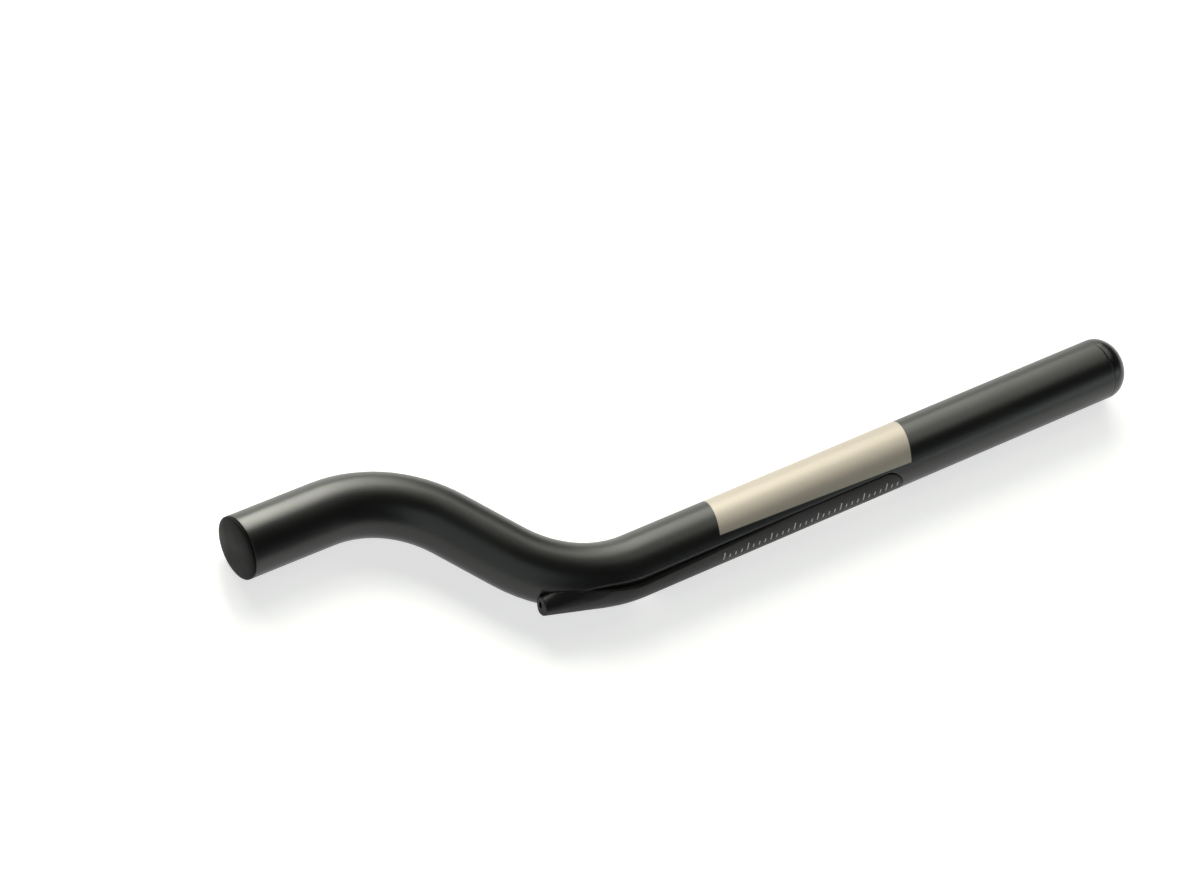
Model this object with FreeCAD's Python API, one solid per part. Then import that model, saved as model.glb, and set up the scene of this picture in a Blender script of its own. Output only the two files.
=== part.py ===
import FreeCAD, Part
import math
import os

os.makedirs("parts", exist_ok=True)

V = FreeCAD.Vector

# Tube and its line: a clamp run, two equal bends in one plane and a hand run parallel to the clamp run
TUBE_OD = 22.2
WALL = 1.8
CLAMP_RUN = 204.0
BEND_RADIUS = 45.4
BEND_ANGLE = 57.0
MID_RUN = 22.2
HAND_RUN = 32.4

# Flat along the underside of the clamp run, where the cable guide sits
FLAT_DEPTH = 3.0
FLAT_REAR = 108.0

# Cable guide: a strip that completes the round section, with a waist that opens a groove beside it, and a
# nose that swells to the tube's sides and runs straight on where the tube bends
GUIDE_SEAM = 0.6
GUIDE_NARROWS_AT = 60.0
GUIDE_WAIST_AT = -5.0
GUIDE_WAIST_HALF_WIDTH = 4.7
GUIDE_WIDENS = 4.8
GUIDE_END_GAP = 0.3
NOSE_LEAVES_AT = 13.4
NOSE_RUN = 26.2
NOSE_FACE_RADIUS = 3.2
NOSE_TAPER = 16.0
NOSE_TRIM = 0.15
NOSE_SEAT_GAP = 0.1
CABLE_CHANNEL_RADIUS = 1.0
CABLE_CHANNEL_DEPTH = 0.1
CABLE_HOLE_RADIUS = 1.15
CABLE_HOLE_COVER = 1.2
CABLE_HOLE_MEETS = 0.6

# Cable port eyelet, on the inner side of the bar, a little below the surface so that a clamp slides over it
EYELET_BACK = 3.5
EYELET_ANGLE = 47.0
EYELET_RADIUS = 4.0
EYELET_HOLE_RADIUS = 2.1
EYELET_SHANK_RADIUS = 2.7
EYELET_SHANK_TAIL = 1.1
EYELET_FLANGE = 1.3
EYELET_SUNK = 0.25
EYELET_FIT = 0.1
EYELET_NOTCH_GAP = 0.3

# End plugs
PLUG_FIT = 0.1
PLUG_SHANK = 13.0
FRONT_SEAM = 0.5
FRONT_FLANGE = 2.2
FRONT_ROUND_WIDTH = 4.0
FRONT_ROUND_STEPS = 2
REAR_SEAM = 0.3
REAR_SKIRT = 1.5
REAR_DOME = 8.3
REAR_DOME_STEPS = 4

# Sizes that follow from the ones above
TUBE_R = TUBE_OD / 2
BORE_R = TUBE_R - WALL
FLAT_OFFSET = TUBE_R - FLAT_DEPTH
FLAT_HALF_WIDTH = math.sqrt(TUBE_R ** 2 - FLAT_OFFSET ** 2)
GUIDE_HALF_WIDTH = FLAT_HALF_WIDTH - GUIDE_SEAM
BEND_OUTER = BEND_RADIUS + TUBE_R
NOSE_FACE_HEIGHT = NOSE_FACE_RADIUS * math.cos(math.radians(NOSE_TAPER)) - NOSE_TRIM
NOSE_CLEARANCE = BEND_OUTER - math.sqrt(BEND_OUTER ** 2 - NOSE_RUN ** 2) - NOSE_SEAT_GAP
CABLE_HOLE_HEIGHT = NOSE_CLEARANCE - CABLE_HOLE_RADIUS - CABLE_HOLE_COVER
EYELET_FACE = TUBE_R - EYELET_FLANGE
TURN = math.radians(BEND_ANGLE)
RISE = 2 * BEND_RADIUS * (1 - math.cos(TURN)) + MID_RUN * math.sin(TURN)
REACH = 2 * BEND_RADIUS * math.sin(TURN) + MID_RUN * math.cos(TURN) + HAND_RUN
REAR_TIP = CLAMP_RUN + REAR_SKIRT + REAR_DOME
FRONT_TIP = -(REACH + FRONT_FLANGE)

# The bar lies on its side: the bends are in a level plane, and the origin is under the middle of its box
PLACE = V(-(REAR_TIP + FRONT_TIP) / 2, -RISE / 2, TUBE_R)

ORIGIN = V(0, 0, 0)
REARWARD = V(1, 0, 0)
RISING = V(0, 1, 0)
UP = V(0, 0, 1)
BEND_CENTRE = V(0, BEND_RADIUS, 0)


def on_bend(angle_deg, radius):
    """Point of the first bend at an angle past its start, at a distance from the bend's centre."""
    a = math.radians(angle_deg)
    return BEND_CENTRE + V(-radius * math.sin(a), -radius * math.cos(a), 0)


def heading(angle_deg):
    """Direction of travel after turning by an angle in the first bend."""
    a = math.radians(angle_deg)
    return V(-math.cos(a), math.sin(a), 0)


def line(a, b):
    return Part.LineSegment(a, b).toShape()


def arc(a, b, c):
    return Part.Arc(a, b, c).toShape()


def bar_path():
    """Centre line of the bar, from the clamp end to the hand end."""
    bend_in = ORIGIN
    bend_mid = on_bend(BEND_ANGLE / 2, BEND_RADIUS)
    bend_out = on_bend(BEND_ANGLE, BEND_RADIUS)
    climb_end = bend_out + heading(BEND_ANGLE) * MID_RUN
    second_centre = climb_end + V(-math.sin(TURN), -math.cos(TURN), 0) * BEND_RADIUS
    second_mid = second_centre + V(math.sin(TURN / 2), math.cos(TURN / 2), 0) * BEND_RADIUS
    second_out = second_centre + RISING * BEND_RADIUS
    hand_end = second_out - REARWARD * HAND_RUN
    return Part.Wire([
        line(REARWARD * CLAMP_RUN, bend_in),
        arc(bend_in, bend_mid, bend_out),
        line(bend_out, climb_end),
        arc(climb_end, second_mid, second_out),
        line(second_out, hand_end),
    ])


def guide_path(offset, rear, nose):
    """Line of the cable guide at an offset below the bar's axis: straight, part of the bend, straight on."""
    radius = BEND_RADIUS + offset
    start = V(rear, -offset, 0)
    bend_in = V(0, -offset, 0)
    bend_mid = on_bend(NOSE_LEAVES_AT / 2, radius)
    bend_out = on_bend(NOSE_LEAVES_AT, radius)
    tip = bend_out + heading(NOSE_LEAVES_AT) * nose
    return Part.Wire([line(start, bend_in), arc(bend_in, bend_mid, bend_out), line(bend_out, tip)])


def rod(path, radius):
    """Solid round rod along a path."""
    start = path.OrderedVertexes[0].Point
    section = Part.Wire([Part.makeCircle(radius, start, REARWARD)])
    return path.makePipeShell([section], True, False)


def below_flat(offset, rear, end_radius):
    """All that lies beyond the flat: a slab along the guide's line, with a round rear end."""
    side = TUBE_OD
    section = Part.Face(Part.makePolygon([
        V(0, -offset, -side), V(0, -offset, side), V(0, -offset - side, side),
        V(0, -offset - side, -side), V(0, -offset, -side)]))
    run = section.extrude(REARWARD * (rear - end_radius))
    end = Part.makeCylinder(end_radius, side, V(rear - end_radius, -offset - side, 0), RISING)
    turn = section.revolve(BEND_CENTRE, UP * -1, NOSE_LEAVES_AT)
    turned = section.copy()
    turned.rotate(BEND_CENTRE, UP * -1, NOSE_LEAVES_AT)
    nose = turned.extrude(heading(NOSE_LEAVES_AT) * (2 * NOSE_RUN))
    return run.fuse([end, turn, nose]).removeSplitter()


def eyelet_cylinder(radius, low, high):
    """Cylinder on the eyelet's axis, between two distances from the tube's axis."""
    a = math.radians(EYELET_ANGLE)
    out = V(0, -math.sin(a), -math.cos(a))
    return Part.makeCylinder(radius, high - low, REARWARD * EYELET_BACK + out * low, out)


def s_bend_tube():
    """Bent tube with the milled flat, which its bore follows inside, and the port's hole."""
    path = bar_path()
    outside = rod(path, TUBE_R).cut(below_flat(FLAT_OFFSET, FLAT_REAR, FLAT_HALF_WIDTH))
    inner_flat = below_flat(FLAT_OFFSET - WALL, FLAT_REAR + WALL, FLAT_HALF_WIDTH + WALL)
    bore = rod(path, BORE_R).cut(inner_flat)
    tube = outside.cut(bore)
    seat = eyelet_cylinder(EYELET_RADIUS + EYELET_FIT, EYELET_FACE, TUBE_R + WALL)
    hole = eyelet_cylinder(EYELET_SHANK_RADIUS + EYELET_FIT, BORE_R / 2, TUBE_R)
    return tube.cut([seat, hole])


def cable_guide():
    """Strip on the tube's flat, with a swelling nose, a cable channel and a notch round the eyelet."""
    beyond = below_flat(FLAT_OFFSET, FLAT_REAR, FLAT_HALF_WIDTH)
    envelope = rod(guide_path(0, FLAT_REAR, NOSE_RUN), TUBE_R)
    ahead = heading(NOSE_LEAVES_AT)
    inward = V(math.sin(math.radians(NOSE_LEAVES_AT)), math.cos(math.radians(NOSE_LEAVES_AT)), 0)
    under = on_bend(NOSE_LEAVES_AT, BEND_OUTER)
    face = under + ahead * NOSE_RUN + inward * NOSE_FACE_HEIGHT

    low = -TUBE_OD
    half = GUIDE_HALF_WIDTH
    round_at = FLAT_REAR - GUIDE_END_GAP - half
    nose_half = GUIDE_WAIST_HALF_WIDTH + (GUIDE_WAIST_AT - face.x) * math.tan(math.radians(GUIDE_WIDENS))
    outline = [(round_at, half), (GUIDE_NARROWS_AT, half), (GUIDE_WAIST_AT, GUIDE_WAIST_HALF_WIDTH),
               (face.x, nose_half)]
    corners = [V(x, low, z) for x, z in outline] + [V(x, low, -z) for x, z in reversed(outline)]
    plan = Part.Face(Part.makePolygon(corners + corners[:1])).extrude(RISING * (2 * TUBE_OD))
    plan = plan.fuse(Part.makeCylinder(half, 2 * TUBE_OD, V(round_at, low, 0), RISING))
    strip = envelope.common(beyond).common(plan)

    # The nose is a cone that leans back into the tube, and the straight round trims its underside
    lean = math.radians(NOSE_TAPER)
    back = ahead * -math.cos(lean) + inward * math.sin(lean)
    lead = NOSE_FACE_RADIUS
    run = lead + 2 * TUBE_OD
    tip_radius = NOSE_FACE_RADIUS - lead * math.tan(lean)
    cone = Part.makeCone(tip_radius, tip_radius + run * math.tan(lean), run, face - back * lead, back)
    straight_on = Part.makeCylinder(TUBE_R, NOSE_RUN, on_bend(NOSE_LEAVES_AT, BEND_RADIUS), ahead)
    filled_bar = rod(bar_path(), TUBE_R + NOSE_SEAT_GAP).cut(beyond)
    nose = straight_on.common(cone).common(plan).cut(filled_bar)

    span = 3 * TUBE_OD
    ahead_of_nose = Part.makeBox(span, span, span, V(-span, -span / 2, -span / 2))
    ahead_of_nose.rotate(ORIGIN, UP, -NOSE_LEAVES_AT)
    ahead_of_nose.translate(under)
    guide = strip.cut(ahead_of_nose).fuse(nose).removeSplitter()

    channel_offset = FLAT_OFFSET + CABLE_CHANNEL_DEPTH
    channel = rod(guide_path(channel_offset, FLAT_REAR, NOSE_RUN * CABLE_HOLE_MEETS), CABLE_CHANNEL_RADIUS)
    mouth = under + ahead * (NOSE_RUN + WALL) + inward * CABLE_HOLE_HEIGHT
    meets = on_bend(NOSE_LEAVES_AT, BEND_RADIUS + channel_offset) + ahead * (NOSE_RUN * CABLE_HOLE_MEETS)
    hole = Part.makeCylinder(CABLE_HOLE_RADIUS, (meets - mouth).Length, mouth, meets - mouth)
    notch = eyelet_cylinder(EYELET_RADIUS + EYELET_NOTCH_GAP, BORE_R / 2, TUBE_R + WALL)
    return guide.cut([channel, hole, notch])


def cable_port_eyelet():
    """Flanged ring with a shank, seated in the tube's spot face and shaped to the tube's round."""
    tube_round = Part.makeCylinder(
        TUBE_R - EYELET_SUNK, 4 * EYELET_RADIUS, REARWARD * (EYELET_BACK - 2 * EYELET_RADIUS), REARWARD)
    ring = eyelet_cylinder(EYELET_RADIUS, EYELET_FACE, TUBE_OD).common(tube_round)
    shank = eyelet_cylinder(EYELET_SHANK_RADIUS, BORE_R - EYELET_SHANK_TAIL, EYELET_FACE)
    hole = eyelet_cylinder(EYELET_HOLE_RADIUS, 0, TUBE_OD)
    return ring.fuse(shank).cut(hole).removeSplitter()


def quarter(centre, depth, height, steps):
    """Points of a quarter round in the XY plane, from its end on the -X side to its end on the +Y side."""
    angles = [math.pi / 2 * (steps - i) / steps for i in range(steps + 1)]
    return [centre + V(-depth * math.sin(a), height * math.cos(a), 0) for a in angles]


def plug(outline, seam):
    """Plug turned about X: its outline runs from the tip to the seam groove, then comes the shank."""
    outer = BORE_R - PLUG_FIT
    corners = outline + [
        V(0, TUBE_R - seam, 0), V(0, outer, 0), V(PLUG_SHANK, outer, 0), V(PLUG_SHANK, 0, 0)]
    return Part.Face(Part.makePolygon(corners + corners[:1])).revolve(ORIGIN, REARWARD, 360)


def front_end_plug():
    """Flanged plug in the hand end: its face is flat in the middle and rounds off to the seam."""
    rim = quarter(V(-FRONT_SEAM, TUBE_R - FRONT_ROUND_WIDTH, 0), FRONT_FLANGE - FRONT_SEAM,
                  FRONT_ROUND_WIDTH, FRONT_ROUND_STEPS)
    shape = plug([V(-FRONT_FLANGE, 0, 0)] + rim, FRONT_SEAM)
    shape.translate(V(-REACH, RISE, 0))
    return shape


def rear_end_plug():
    """Domed plug in the clamp end."""
    dome = quarter(REARWARD * -REAR_SKIRT, REAR_DOME, TUBE_R, REAR_DOME_STEPS)
    shape = plug(dome + [V(-REAR_SEAM, TUBE_R, 0)], REAR_SEAM)
    shape.rotate(ORIGIN, UP, 180)
    shape.translate(REARWARD * CLAMP_RUN)
    return shape


NODES = {
    "s_bend_tube": s_bend_tube,
    "cable_guide": cable_guide,
    "cable_port_eyelet": cable_port_eyelet,
    "front_end_plug": front_end_plug,
    "rear_end_plug": rear_end_plug,
}

for name, make in NODES.items():
    shape = make()
    solids = shape.Solids
    shape = solids[0] if len(solids) == 1 else shape
    shape.translate(PLACE)
    print(name, "solids", len(solids), "valid", shape.isValid(), "volume %.1f" % shape.Volume)
    shape.exportStep("parts/%s.step" % name)
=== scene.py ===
import math

import bpy
from mathutils import Matrix, Vector


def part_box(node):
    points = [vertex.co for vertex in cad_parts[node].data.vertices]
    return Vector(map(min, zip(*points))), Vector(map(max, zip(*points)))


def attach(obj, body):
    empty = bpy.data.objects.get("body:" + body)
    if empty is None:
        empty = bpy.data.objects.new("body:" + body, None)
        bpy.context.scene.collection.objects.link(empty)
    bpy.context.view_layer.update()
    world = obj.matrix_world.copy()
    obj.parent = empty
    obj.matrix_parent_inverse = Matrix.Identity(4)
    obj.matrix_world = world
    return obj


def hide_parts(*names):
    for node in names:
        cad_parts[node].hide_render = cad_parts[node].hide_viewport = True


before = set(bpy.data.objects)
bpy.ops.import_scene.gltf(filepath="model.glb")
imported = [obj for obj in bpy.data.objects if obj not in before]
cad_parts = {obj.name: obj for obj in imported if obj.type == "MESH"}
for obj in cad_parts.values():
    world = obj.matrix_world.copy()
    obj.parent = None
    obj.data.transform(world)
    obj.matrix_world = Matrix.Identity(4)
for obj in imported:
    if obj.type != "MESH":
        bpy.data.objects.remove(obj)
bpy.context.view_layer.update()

# Places and sizes of the tube, in metres
tube_low, tube_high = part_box("s_bend_tube")
TUBE_R = (tube_high[2] - tube_low[2]) / 2
AXIS_Z = tube_low[2] + TUBE_R
CLAMP_AXIS_Y = tube_low[1] + TUBE_R
HAND_AXIS_Y = tube_high[1] - TUBE_R
FRONT_SEAM_X = tube_low[0]
REAR_SEAM_X = tube_high[0]

# End plugs, with the sizes of the part's source
BORE_R = 0.0093
PLUG_FIT = 0.0001
PLUG_SHANK = 0.013
FRONT_SEAM = 0.0005
FRONT_FLANGE = 0.0022
FRONT_ROUND_DEPTH = 0.0017
REAR_SEAM = 0.0003
REAR_SKIRT = 0.0015
REAR_DOME = 0.0083

# Crown of the front plug: a higher power makes its face or its rim flatter
FACE_FLATNESS = 2.6
RIM_FLATNESS = 2.2

# Turned meshes: steps round the axis and along the rounds, and the angle of a sharp edge in degrees
LATHE_STEPS = 128
FACE_STEPS = 32
DOME_STEPS = 24
SHARP_ANGLE = 35

# Painted panel on the clamp run: its ends, which slant, and the height of its lower edge at both ends
PANEL_FRONT_X = REAR_SEAM_X - 0.1729
PANEL_REAR_X = REAR_SEAM_X - 0.0904
PANEL_SLANT = 0.287
PANEL_EDGE_FRONT = -0.0057
PANEL_EDGE_REAR = -0.0079
PRINT_SOFTNESS = 0.00012

# Plain tick scale printed on the guide's outer side
SCALE_FRONT_X = REAR_SEAM_X - 0.1735
SCALE_REAR_X = REAR_SEAM_X - 0.0975
SCALE_PITCH = 0.0025
SCALE_TICK = 0.00045
SCALE_LONG_EVERY = 4
SCALE_FOOT = 0.0010
SCALE_SHORT_TOP = 0.0028
SCALE_LONG_TOP = 0.0042

# Colours of the finishes, darkest and lightest
TUBE_BLACK = ((0.0018, 0.0019, 0.0017, 1.0), (0.0030, 0.0030, 0.0027, 1.0))
CHAMPAGNE = ((0.335, 0.296, 0.25, 1.0), (0.42, 0.374, 0.322, 1.0))
GUIDE_BLACK = ((0.0022, 0.0024, 0.0023, 1.0), (0.0036, 0.0038, 0.0036, 1.0))
PLUG_BLACK = ((0.0024, 0.0026, 0.0026, 1.0), (0.0044, 0.0046, 0.0046, 1.0))
RING_WHITE = ((0.70, 0.69, 0.66, 1.0), (0.80, 0.79, 0.76, 1.0))
SCALE_INK = (0.42, 0.42, 0.41, 1.0)

# Gloss of the finishes: lowest and highest roughness, metal share and specular levels
TUBE_ROUGH = (0.33, 0.37)
PANEL_ROUGH = (0.42, 0.52)
GUIDE_ROUGH = (0.42, 0.50)
RING_ROUGH = (0.26, 0.36)
DULL_ROUGH = (0.50, 0.60)
HALF_GLOSS_ROUGH = (0.26, 0.34)
PANEL_METALLIC = 0.36
GUIDE_SPECULAR = 0.26
DULL_SPECULAR = 0.12
HALF_GLOSS_SPECULAR = 0.5

# Noises of the finishes, as scale and detail, and the spread of their values that is put to use
TUBE_CLOUD = (60.0, 3.0)
TUBE_GRAIN = (5200.0, 2.0)
PANEL_FLAKE = (9000.0, 1.0)
GUIDE_CLOUD = (90.0, 3.0)
GUIDE_GRAIN = (3200.0, 3.0)
PLUG_CLOUD = (140.0, 3.0)
PLUG_GRAIN = (2600.0, 3.0)
RING_CLOUD = (500.0, 2.0)
NOISE_SPREAD = (0.3, 0.7)
FLAKE_SPREAD = (0.35, 0.7)

# Relief of the finishes, as strength, depth and the radius that softens edges
TUBE_RELIEF = (0.25, 0.00002, 0.0008)
GUIDE_RELIEF = (0.3, 0.00003, 0.0005)
PLUG_RELIEF = (0.3, 0.00003, 0.0002)
RING_RELIEF = (0.1, 0.00002, 0.00025)
PAINT_HEIGHT = 2.0
EDGE_SAMPLES = 6

# Floor and surround
FLOOR_HALF = 6.0
FLOOR_DROP = 0.0002
FLOOR_COLOUR = (0.55, 0.55, 0.549, 1.0)
FLOOR_ROUGH = 0.9
FLOOR_GLOW_COLOUR = (1.0, 1.0, 0.995, 1.0)
FLOOR_GLOW = 0.64
SURROUND_COLOUR = (0.95, 0.98, 1.0, 1.0)
SURROUND_STRENGTH = 0.04

# Points that the lights face, directions of their height, and tints
CLAMP_RUN = (0.08, CLAMP_AXIS_Y, AXIS_Z)
MIDDLE_RUN = (-0.08, 0.0, AXIS_Z)
HAND_RUN = (-0.15, HAND_AXIS_Y, AXIS_Z)
UP = (0.0, 0.0, 1.0)
OVER_THE_HAND = (0.0, -0.67, 0.74)
WARM = (1.0, 1.0, 0.90)
COOL = (0.88, 1.0, 0.95)

# Lights: name, place, target, direction of the height, width, height, power and tint
LIGHTS = (
    ("key", (0.72, 2.50, 1.60), CLAMP_RUN, UP, 2.65, 2.3, 112.0, WARM),
    ("hand_key", (-0.048, 0.265, 0.229), HAND_RUN, OVER_THE_HAND, 0.09, 0.32, 1.0, WARM),
    ("top", (0.40, 0.13, 0.50), CLAMP_RUN, OVER_THE_HAND, 0.26, 0.42, 0.75, WARM),
    ("fill", (0.30, -0.33, 0.11), CLAMP_RUN, UP, 0.4, 0.12, 0.22, COOL),
    ("front_fill", (-1.0, -0.6, 0.70), MIDDLE_RUN, UP, 1.3, 1.5, 5.2, COOL),
)

# Camera fitted to the photograph
CAMERA_PLACE = (-0.74673, -0.49592, 1.22091)
CAMERA_RIGHT = (0.81325, -0.51949, 0.26223)
CAMERA_UP = (0.33025, 0.78304, 0.52705)
CAMERA_BACK = (-0.47913, -0.34202, 0.80837)
CAMERA_LENS = 131.66
CAMERA_SENSOR = 36.0
CAMERA_REACH = 20.0


class Nodes:
    """A material's node tree, with short calls for the nodes that the finishes use."""

    def __init__(self, name):
        self.material = bpy.data.materials.new(name)
        self.material.use_nodes = True
        self.tree = self.material.node_tree
        self.shader = self.tree.nodes["Principled BSDF"]
        self.coords = self.tree.nodes.new("ShaderNodeTexCoord").outputs["Object"]

    def feed(self, socket, value):
        """Link a socket to another node's output, or give it a plain value."""
        if isinstance(value, bpy.types.NodeSocket):
            self.tree.links.new(value, socket)
        else:
            socket.default_value = value

    def shade(self, socket_name, value):
        """Feed one of the shader's own sockets."""
        self.feed(self.shader.inputs[socket_name], value)

    def math(self, operation, a, b):
        node = self.tree.nodes.new("ShaderNodeMath")
        node.operation = operation
        self.feed(node.inputs[0], a)
        self.feed(node.inputs[1], b)
        return node.outputs[0]

    def ramp(self, value, low, high, to_low=0.0, to_high=1.0):
        """Map the values between two limits evenly to a new range, and clamp those outside."""
        node = self.tree.nodes.new("ShaderNodeMapRange")
        node.clamp = True
        self.feed(node.inputs["Value"], value)
        node.inputs["From Min"].default_value = low
        node.inputs["From Max"].default_value = high
        node.inputs["To Min"].default_value = to_low
        node.inputs["To Max"].default_value = to_high
        return node.outputs["Result"]

    def noise(self, scale, detail):
        node = self.tree.nodes.new("ShaderNodeTexNoise")
        node.inputs["Scale"].default_value = scale
        node.inputs["Detail"].default_value = detail
        self.feed(node.inputs["Vector"], self.coords)
        return node.outputs["Fac"]

    def mix(self, factor, a, b, kind="RGBA"):
        node = self.tree.nodes.new("ShaderNodeMix")
        node.data_type = kind
        self.feed(node.inputs["Factor"], factor)
        self.feed(node.inputs["A"], a)
        self.feed(node.inputs["B"], b)
        return node.outputs["Result"]

    def band(self, value, low, high):
        """One between two limits, with the soft edges of a print, and nothing outside them."""
        above = self.ramp(value, low - PRINT_SOFTNESS, low + PRINT_SOFTNESS)
        below = self.ramp(value, high - PRINT_SOFTNESS, high + PRINT_SOFTNESS, 1.0, 0.0)
        return self.math("MULTIPLY", above, below)

    def ticks(self, along, pitch):
        """Marks across a line, at even steps from its start."""
        middle = self.math("PINGPONG", along, pitch / 2)
        inner = (SCALE_TICK - PRINT_SOFTNESS) / 2
        outer = (SCALE_TICK + PRINT_SOFTNESS) / 2
        return self.ramp(middle, inner, outer, 1.0, 0.0)

    def split(self):
        """The three coordinates of a point on the piece."""
        node = self.tree.nodes.new("ShaderNodeSeparateXYZ")
        self.feed(node.inputs[0], self.coords)
        return node.outputs["X"], node.outputs["Y"], node.outputs["Z"]

    def relief(self, height, strength, depth, edge_radius):
        """Surface relief over edges that are rounded by a small radius."""
        bevel = self.tree.nodes.new("ShaderNodeBevel")
        bevel.samples = EDGE_SAMPLES
        bevel.inputs["Radius"].default_value = edge_radius
        bump = self.tree.nodes.new("ShaderNodeBump")
        bump.inputs["Strength"].default_value = strength
        bump.inputs["Distance"].default_value = depth
        self.feed(bump.inputs["Height"], height)
        self.feed(bump.inputs["Normal"], bevel.outputs["Normal"])
        self.shade("Normal", bump.outputs["Normal"])


def tube_finish():
    """Satin black tube with the champagne panel, which wraps over the side away from the guide."""
    n = Nodes("satin_black_with_panel")
    x, y, _ = n.split()
    height = n.math("SUBTRACT", y, CLAMP_AXIS_Y)
    slope = (PANEL_EDGE_REAR - PANEL_EDGE_FRONT) / (PANEL_REAR_X - PANEL_FRONT_X)
    edge = n.math("ADD", n.math("MULTIPLY", x, slope), PANEL_EDGE_FRONT - slope * PANEL_FRONT_X)
    above = n.ramp(n.math("SUBTRACT", height, edge), -PRINT_SOFTNESS, PRINT_SOFTNESS)
    along = n.math("SUBTRACT", x, n.math("MULTIPLY", height, PANEL_SLANT))
    panel = n.math("MULTIPLY", n.band(along, PANEL_FRONT_X, PANEL_REAR_X), above)

    cloud = n.noise(*TUBE_CLOUD)
    grain = n.noise(*TUBE_GRAIN)
    flake = n.noise(*PANEL_FLAKE)
    black = n.mix(cloud, *TUBE_BLACK)
    champagne = n.mix(n.ramp(flake, *FLAKE_SPREAD), *CHAMPAGNE)
    n.shade("Base Color", n.mix(panel, black, champagne))
    n.shade("Metallic", n.math("MULTIPLY", panel, PANEL_METALLIC))
    black_rough = n.ramp(cloud, *NOISE_SPREAD, *TUBE_ROUGH)
    panel_rough = n.ramp(flake, *NOISE_SPREAD, *PANEL_ROUGH)
    n.shade("Roughness", n.mix(panel, black_rough, panel_rough, "FLOAT"))
    n.relief(n.math("ADD", grain, n.math("MULTIPLY", panel, PAINT_HEIGHT)), *TUBE_RELIEF)
    return n.material


def guide_finish():
    """Black moulding with a fine grain and a printed tick scale."""
    n = Nodes("black_moulding")
    x, _, z = n.split()
    height = n.math("SUBTRACT", z, AXIS_Z)
    along = n.math("SUBTRACT", x, SCALE_FRONT_X)
    short = n.math("MULTIPLY", n.ticks(along, SCALE_PITCH), n.band(height, SCALE_FOOT, SCALE_SHORT_TOP))
    long = n.math("MULTIPLY", n.ticks(along, SCALE_PITCH * SCALE_LONG_EVERY),
                  n.band(height, SCALE_FOOT, SCALE_LONG_TOP))
    within = n.band(x, SCALE_FRONT_X - SCALE_TICK, SCALE_REAR_X + SCALE_TICK)
    ink = n.math("MULTIPLY", n.math("MAXIMUM", short, long), within)

    cloud = n.noise(*GUIDE_CLOUD)
    grain = n.noise(*GUIDE_GRAIN)
    n.shade("Base Color", n.mix(ink, n.mix(cloud, *GUIDE_BLACK), SCALE_INK))
    n.shade("Roughness", n.ramp(cloud, *NOISE_SPREAD, *GUIDE_ROUGH))
    n.shade("Specular IOR Level", GUIDE_SPECULAR)
    n.relief(grain, *GUIDE_RELIEF)
    return n.material


def plug_finish(name, specular, rough):
    """Soft black moulding, from dull to half gloss."""
    n = Nodes(name)
    cloud = n.noise(*PLUG_CLOUD)
    grain = n.noise(*PLUG_GRAIN)
    n.shade("Base Color", n.mix(cloud, *PLUG_BLACK))
    n.shade("Roughness", n.ramp(cloud, *NOISE_SPREAD, *rough))
    n.shade("Specular IOR Level", specular)
    n.relief(grain, *PLUG_RELIEF)
    return n.material


def eyelet_finish():
    """Pale smooth ring."""
    n = Nodes("pale_ring")
    cloud = n.noise(*RING_CLOUD)
    n.shade("Base Color", n.mix(cloud, *RING_WHITE))
    n.shade("Roughness", n.ramp(cloud, *NOISE_SPREAD, *RING_ROUGH))
    n.relief(cloud, *RING_RELIEF)
    return n.material


def lathe(name, profile, place, flip):
    """Mesh turned about X from (x, radius) points; flip turns its tip towards +X."""
    sign = -1.0 if flip else 1.0
    verts = []
    faces = []
    rings = []
    for along, radius in profile:
        if radius == 0.0:
            rings.append([len(verts)])
            verts.append((sign * along, 0.0, 0.0))
            continue
        rings.append(list(range(len(verts), len(verts) + LATHE_STEPS)))
        for i in range(LATHE_STEPS):
            a = 2 * math.pi * i / LATHE_STEPS
            verts.append((sign * along, radius * math.cos(a), sign * radius * math.sin(a)))
    for low, high in zip(rings[:-1], rings[1:]):
        for i in range(LATHE_STEPS):
            j = (i + 1) % LATHE_STEPS
            corners = [low[i % len(low)], low[j % len(low)], high[j % len(high)], high[i % len(high)]]
            faces.append([v for k, v in enumerate(corners) if v not in corners[:k]])
    mesh = bpy.data.meshes.new(name)
    mesh.from_pydata(verts, [], faces)
    mesh.validate()
    for polygon in mesh.polygons:
        polygon.use_smooth = True
    mesh.set_sharp_from_angle(angle=math.radians(SHARP_ANGLE))
    piece = bpy.data.objects.new(name, mesh)
    piece.location = place
    bpy.context.scene.collection.objects.link(piece)
    return piece


def shank(seam):
    """A plug's profile from the bottom of its seam groove inwards."""
    outer = BORE_R - PLUG_FIT
    return [(0.0, TUBE_R - seam), (0.0, outer), (PLUG_SHANK, outer), (PLUG_SHANK, 0.0)]


def front_plug():
    """Plug with a slightly crowned face that rounds off to the seam."""
    rim = FRONT_ROUND_DEPTH - FRONT_FLANGE
    face = [(-FRONT_FLANGE, 0.0)]
    for i in range(1, FACE_STEPS + 1):
        out = math.sin(math.pi / 2 * i / FACE_STEPS)
        crown = max(0.0, 1 - out ** FACE_FLATNESS) ** (1 / RIM_FLATNESS)
        face.append((rim - FRONT_ROUND_DEPTH * crown, TUBE_R * out))
    return lathe("front_plug", face + shank(FRONT_SEAM), (FRONT_SEAM_X, HAND_AXIS_Y, AXIS_Z), False)


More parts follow.
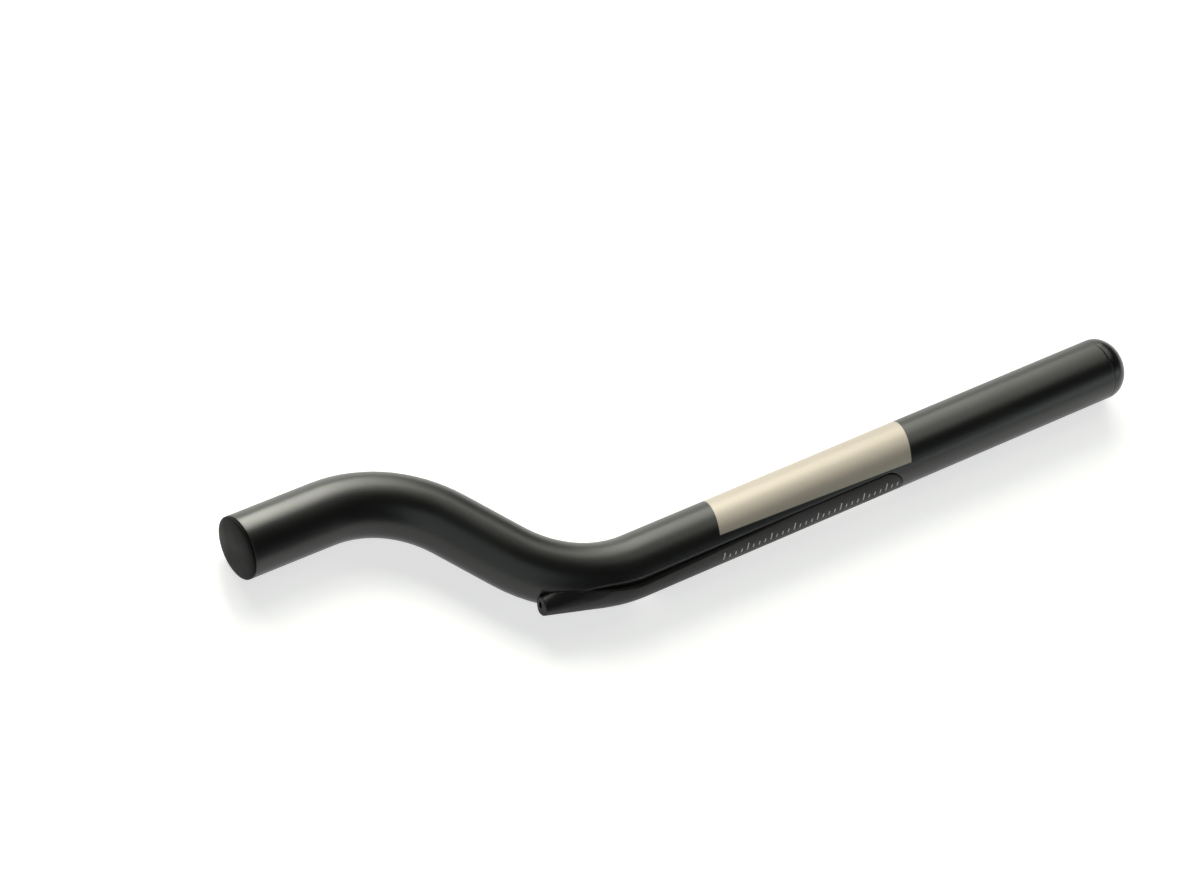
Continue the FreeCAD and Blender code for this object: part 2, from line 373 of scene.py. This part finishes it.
def rear_plug():
    """Plug with a domed end on a short skirt."""
    dome = [(-REAR_SKIRT - REAR_DOME, 0.0)]
    for i in range(1, DOME_STEPS + 1):
        a = math.pi / 2 * (DOME_STEPS - i) / DOME_STEPS
        dome.append((-REAR_SKIRT - REAR_DOME * math.sin(a), TUBE_R * math.cos(a)))
    profile = dome + [(-REAR_SEAM, TUBE_R)] + shank(REAR_SEAM)
    return lathe("rear_plug", profile, (REAR_SEAM_X, CLAMP_AXIS_Y, AXIS_Z), True)


def dress(piece, material):
    """Give a piece one material in place of those it has."""
    piece.data.materials.clear()
    piece.data.materials.append(material)


def softbox(name, place, target, along, width, height, power, tint):
    """Area light that faces a target, with its height along a given direction."""
    light = bpy.data.lights.new(name, "AREA")
    light.shape = "RECTANGLE"
    light.size = width
    light.size_y = height
    light.energy = power
    light.color = tint
    lamp = bpy.data.objects.new(name, light)
    back = (Vector(place) - Vector(target)).normalized()
    side = Vector(along).cross(back).normalized()
    turn = Matrix((side, back.cross(side), back)).transposed()
    lamp.matrix_world = Matrix.Translation(place) @ turn.to_4x4()
    lamp.visible_camera = False
    bpy.context.scene.collection.objects.link(lamp)


def pale_floor():
    """Wide plain floor just under the part."""
    mesh = bpy.data.meshes.new("floor")
    signs = ((-1, -1), (1, -1), (1, 1), (-1, 1))
    corners = [(FLOOR_HALF * i, FLOOR_HALF * j, 0.0) for i, j in signs]
    mesh.from_pydata(corners, [], [(0, 1, 2, 3)])
    floor = bpy.data.objects.new("floor", mesh)
    floor.location = (0.0, 0.0, -FLOOR_DROP)
    bpy.context.scene.collection.objects.link(floor)
    n = Nodes("pale_floor")
    n.shade("Base Color", FLOOR_COLOUR)
    n.shade("Roughness", FLOOR_ROUGH)
    n.shade("Emission Color", FLOOR_GLOW_COLOUR)
    n.shade("Emission Strength", FLOOR_GLOW)
    dress(floor, n.material)


def surround():
    """Dim even light from all round."""
    world = bpy.data.worlds.new("surround")
    world.use_nodes = True
    background = world.node_tree.nodes["Background"]
    background.inputs["Color"].default_value = SURROUND_COLOUR
    background.inputs["Strength"].default_value = SURROUND_STRENGTH
    bpy.context.scene.world = world


def camera():
    """Camera at the photograph's viewing angle."""
    data = bpy.data.cameras.new("photo_view")
    data.lens = CAMERA_LENS
    data.sensor_width = CAMERA_SENSOR
    data.sensor_fit = "HORIZONTAL"
    data.clip_end = CAMERA_REACH
    view = bpy.data.objects.new("photo_view", data)
    turn = Matrix((CAMERA_RIGHT, CAMERA_UP, CAMERA_BACK)).transposed()
    view.matrix_world = Matrix.Translation(CAMERA_PLACE) @ turn.to_4x4()
    bpy.context.scene.collection.objects.link(view)
    bpy.context.scene.camera = view


camera()
pale_floor()
for light_values in LIGHTS:
    softbox(*light_values)
surround()
bpy.context.scene.view_settings.view_transform = "Standard"

dress(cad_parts["s_bend_tube"], tube_finish())
dress(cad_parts["cable_guide"], guide_finish())
dress(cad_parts["cable_port_eyelet"], eyelet_finish())

dull_plug = plug_finish("dull_black_plug", DULL_SPECULAR, DULL_ROUGH)
half_gloss_plug = plug_finish("half_gloss_black_plug", HALF_GLOSS_SPECULAR, HALF_GLOSS_ROUGH)
for make, node, material in ((front_plug, "front_end_plug", dull_plug),
                             (rear_plug, "rear_end_plug", half_gloss_plug)):
    cap = make()
    dress(cap, material)
    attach(cap, "root")
    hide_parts(node)
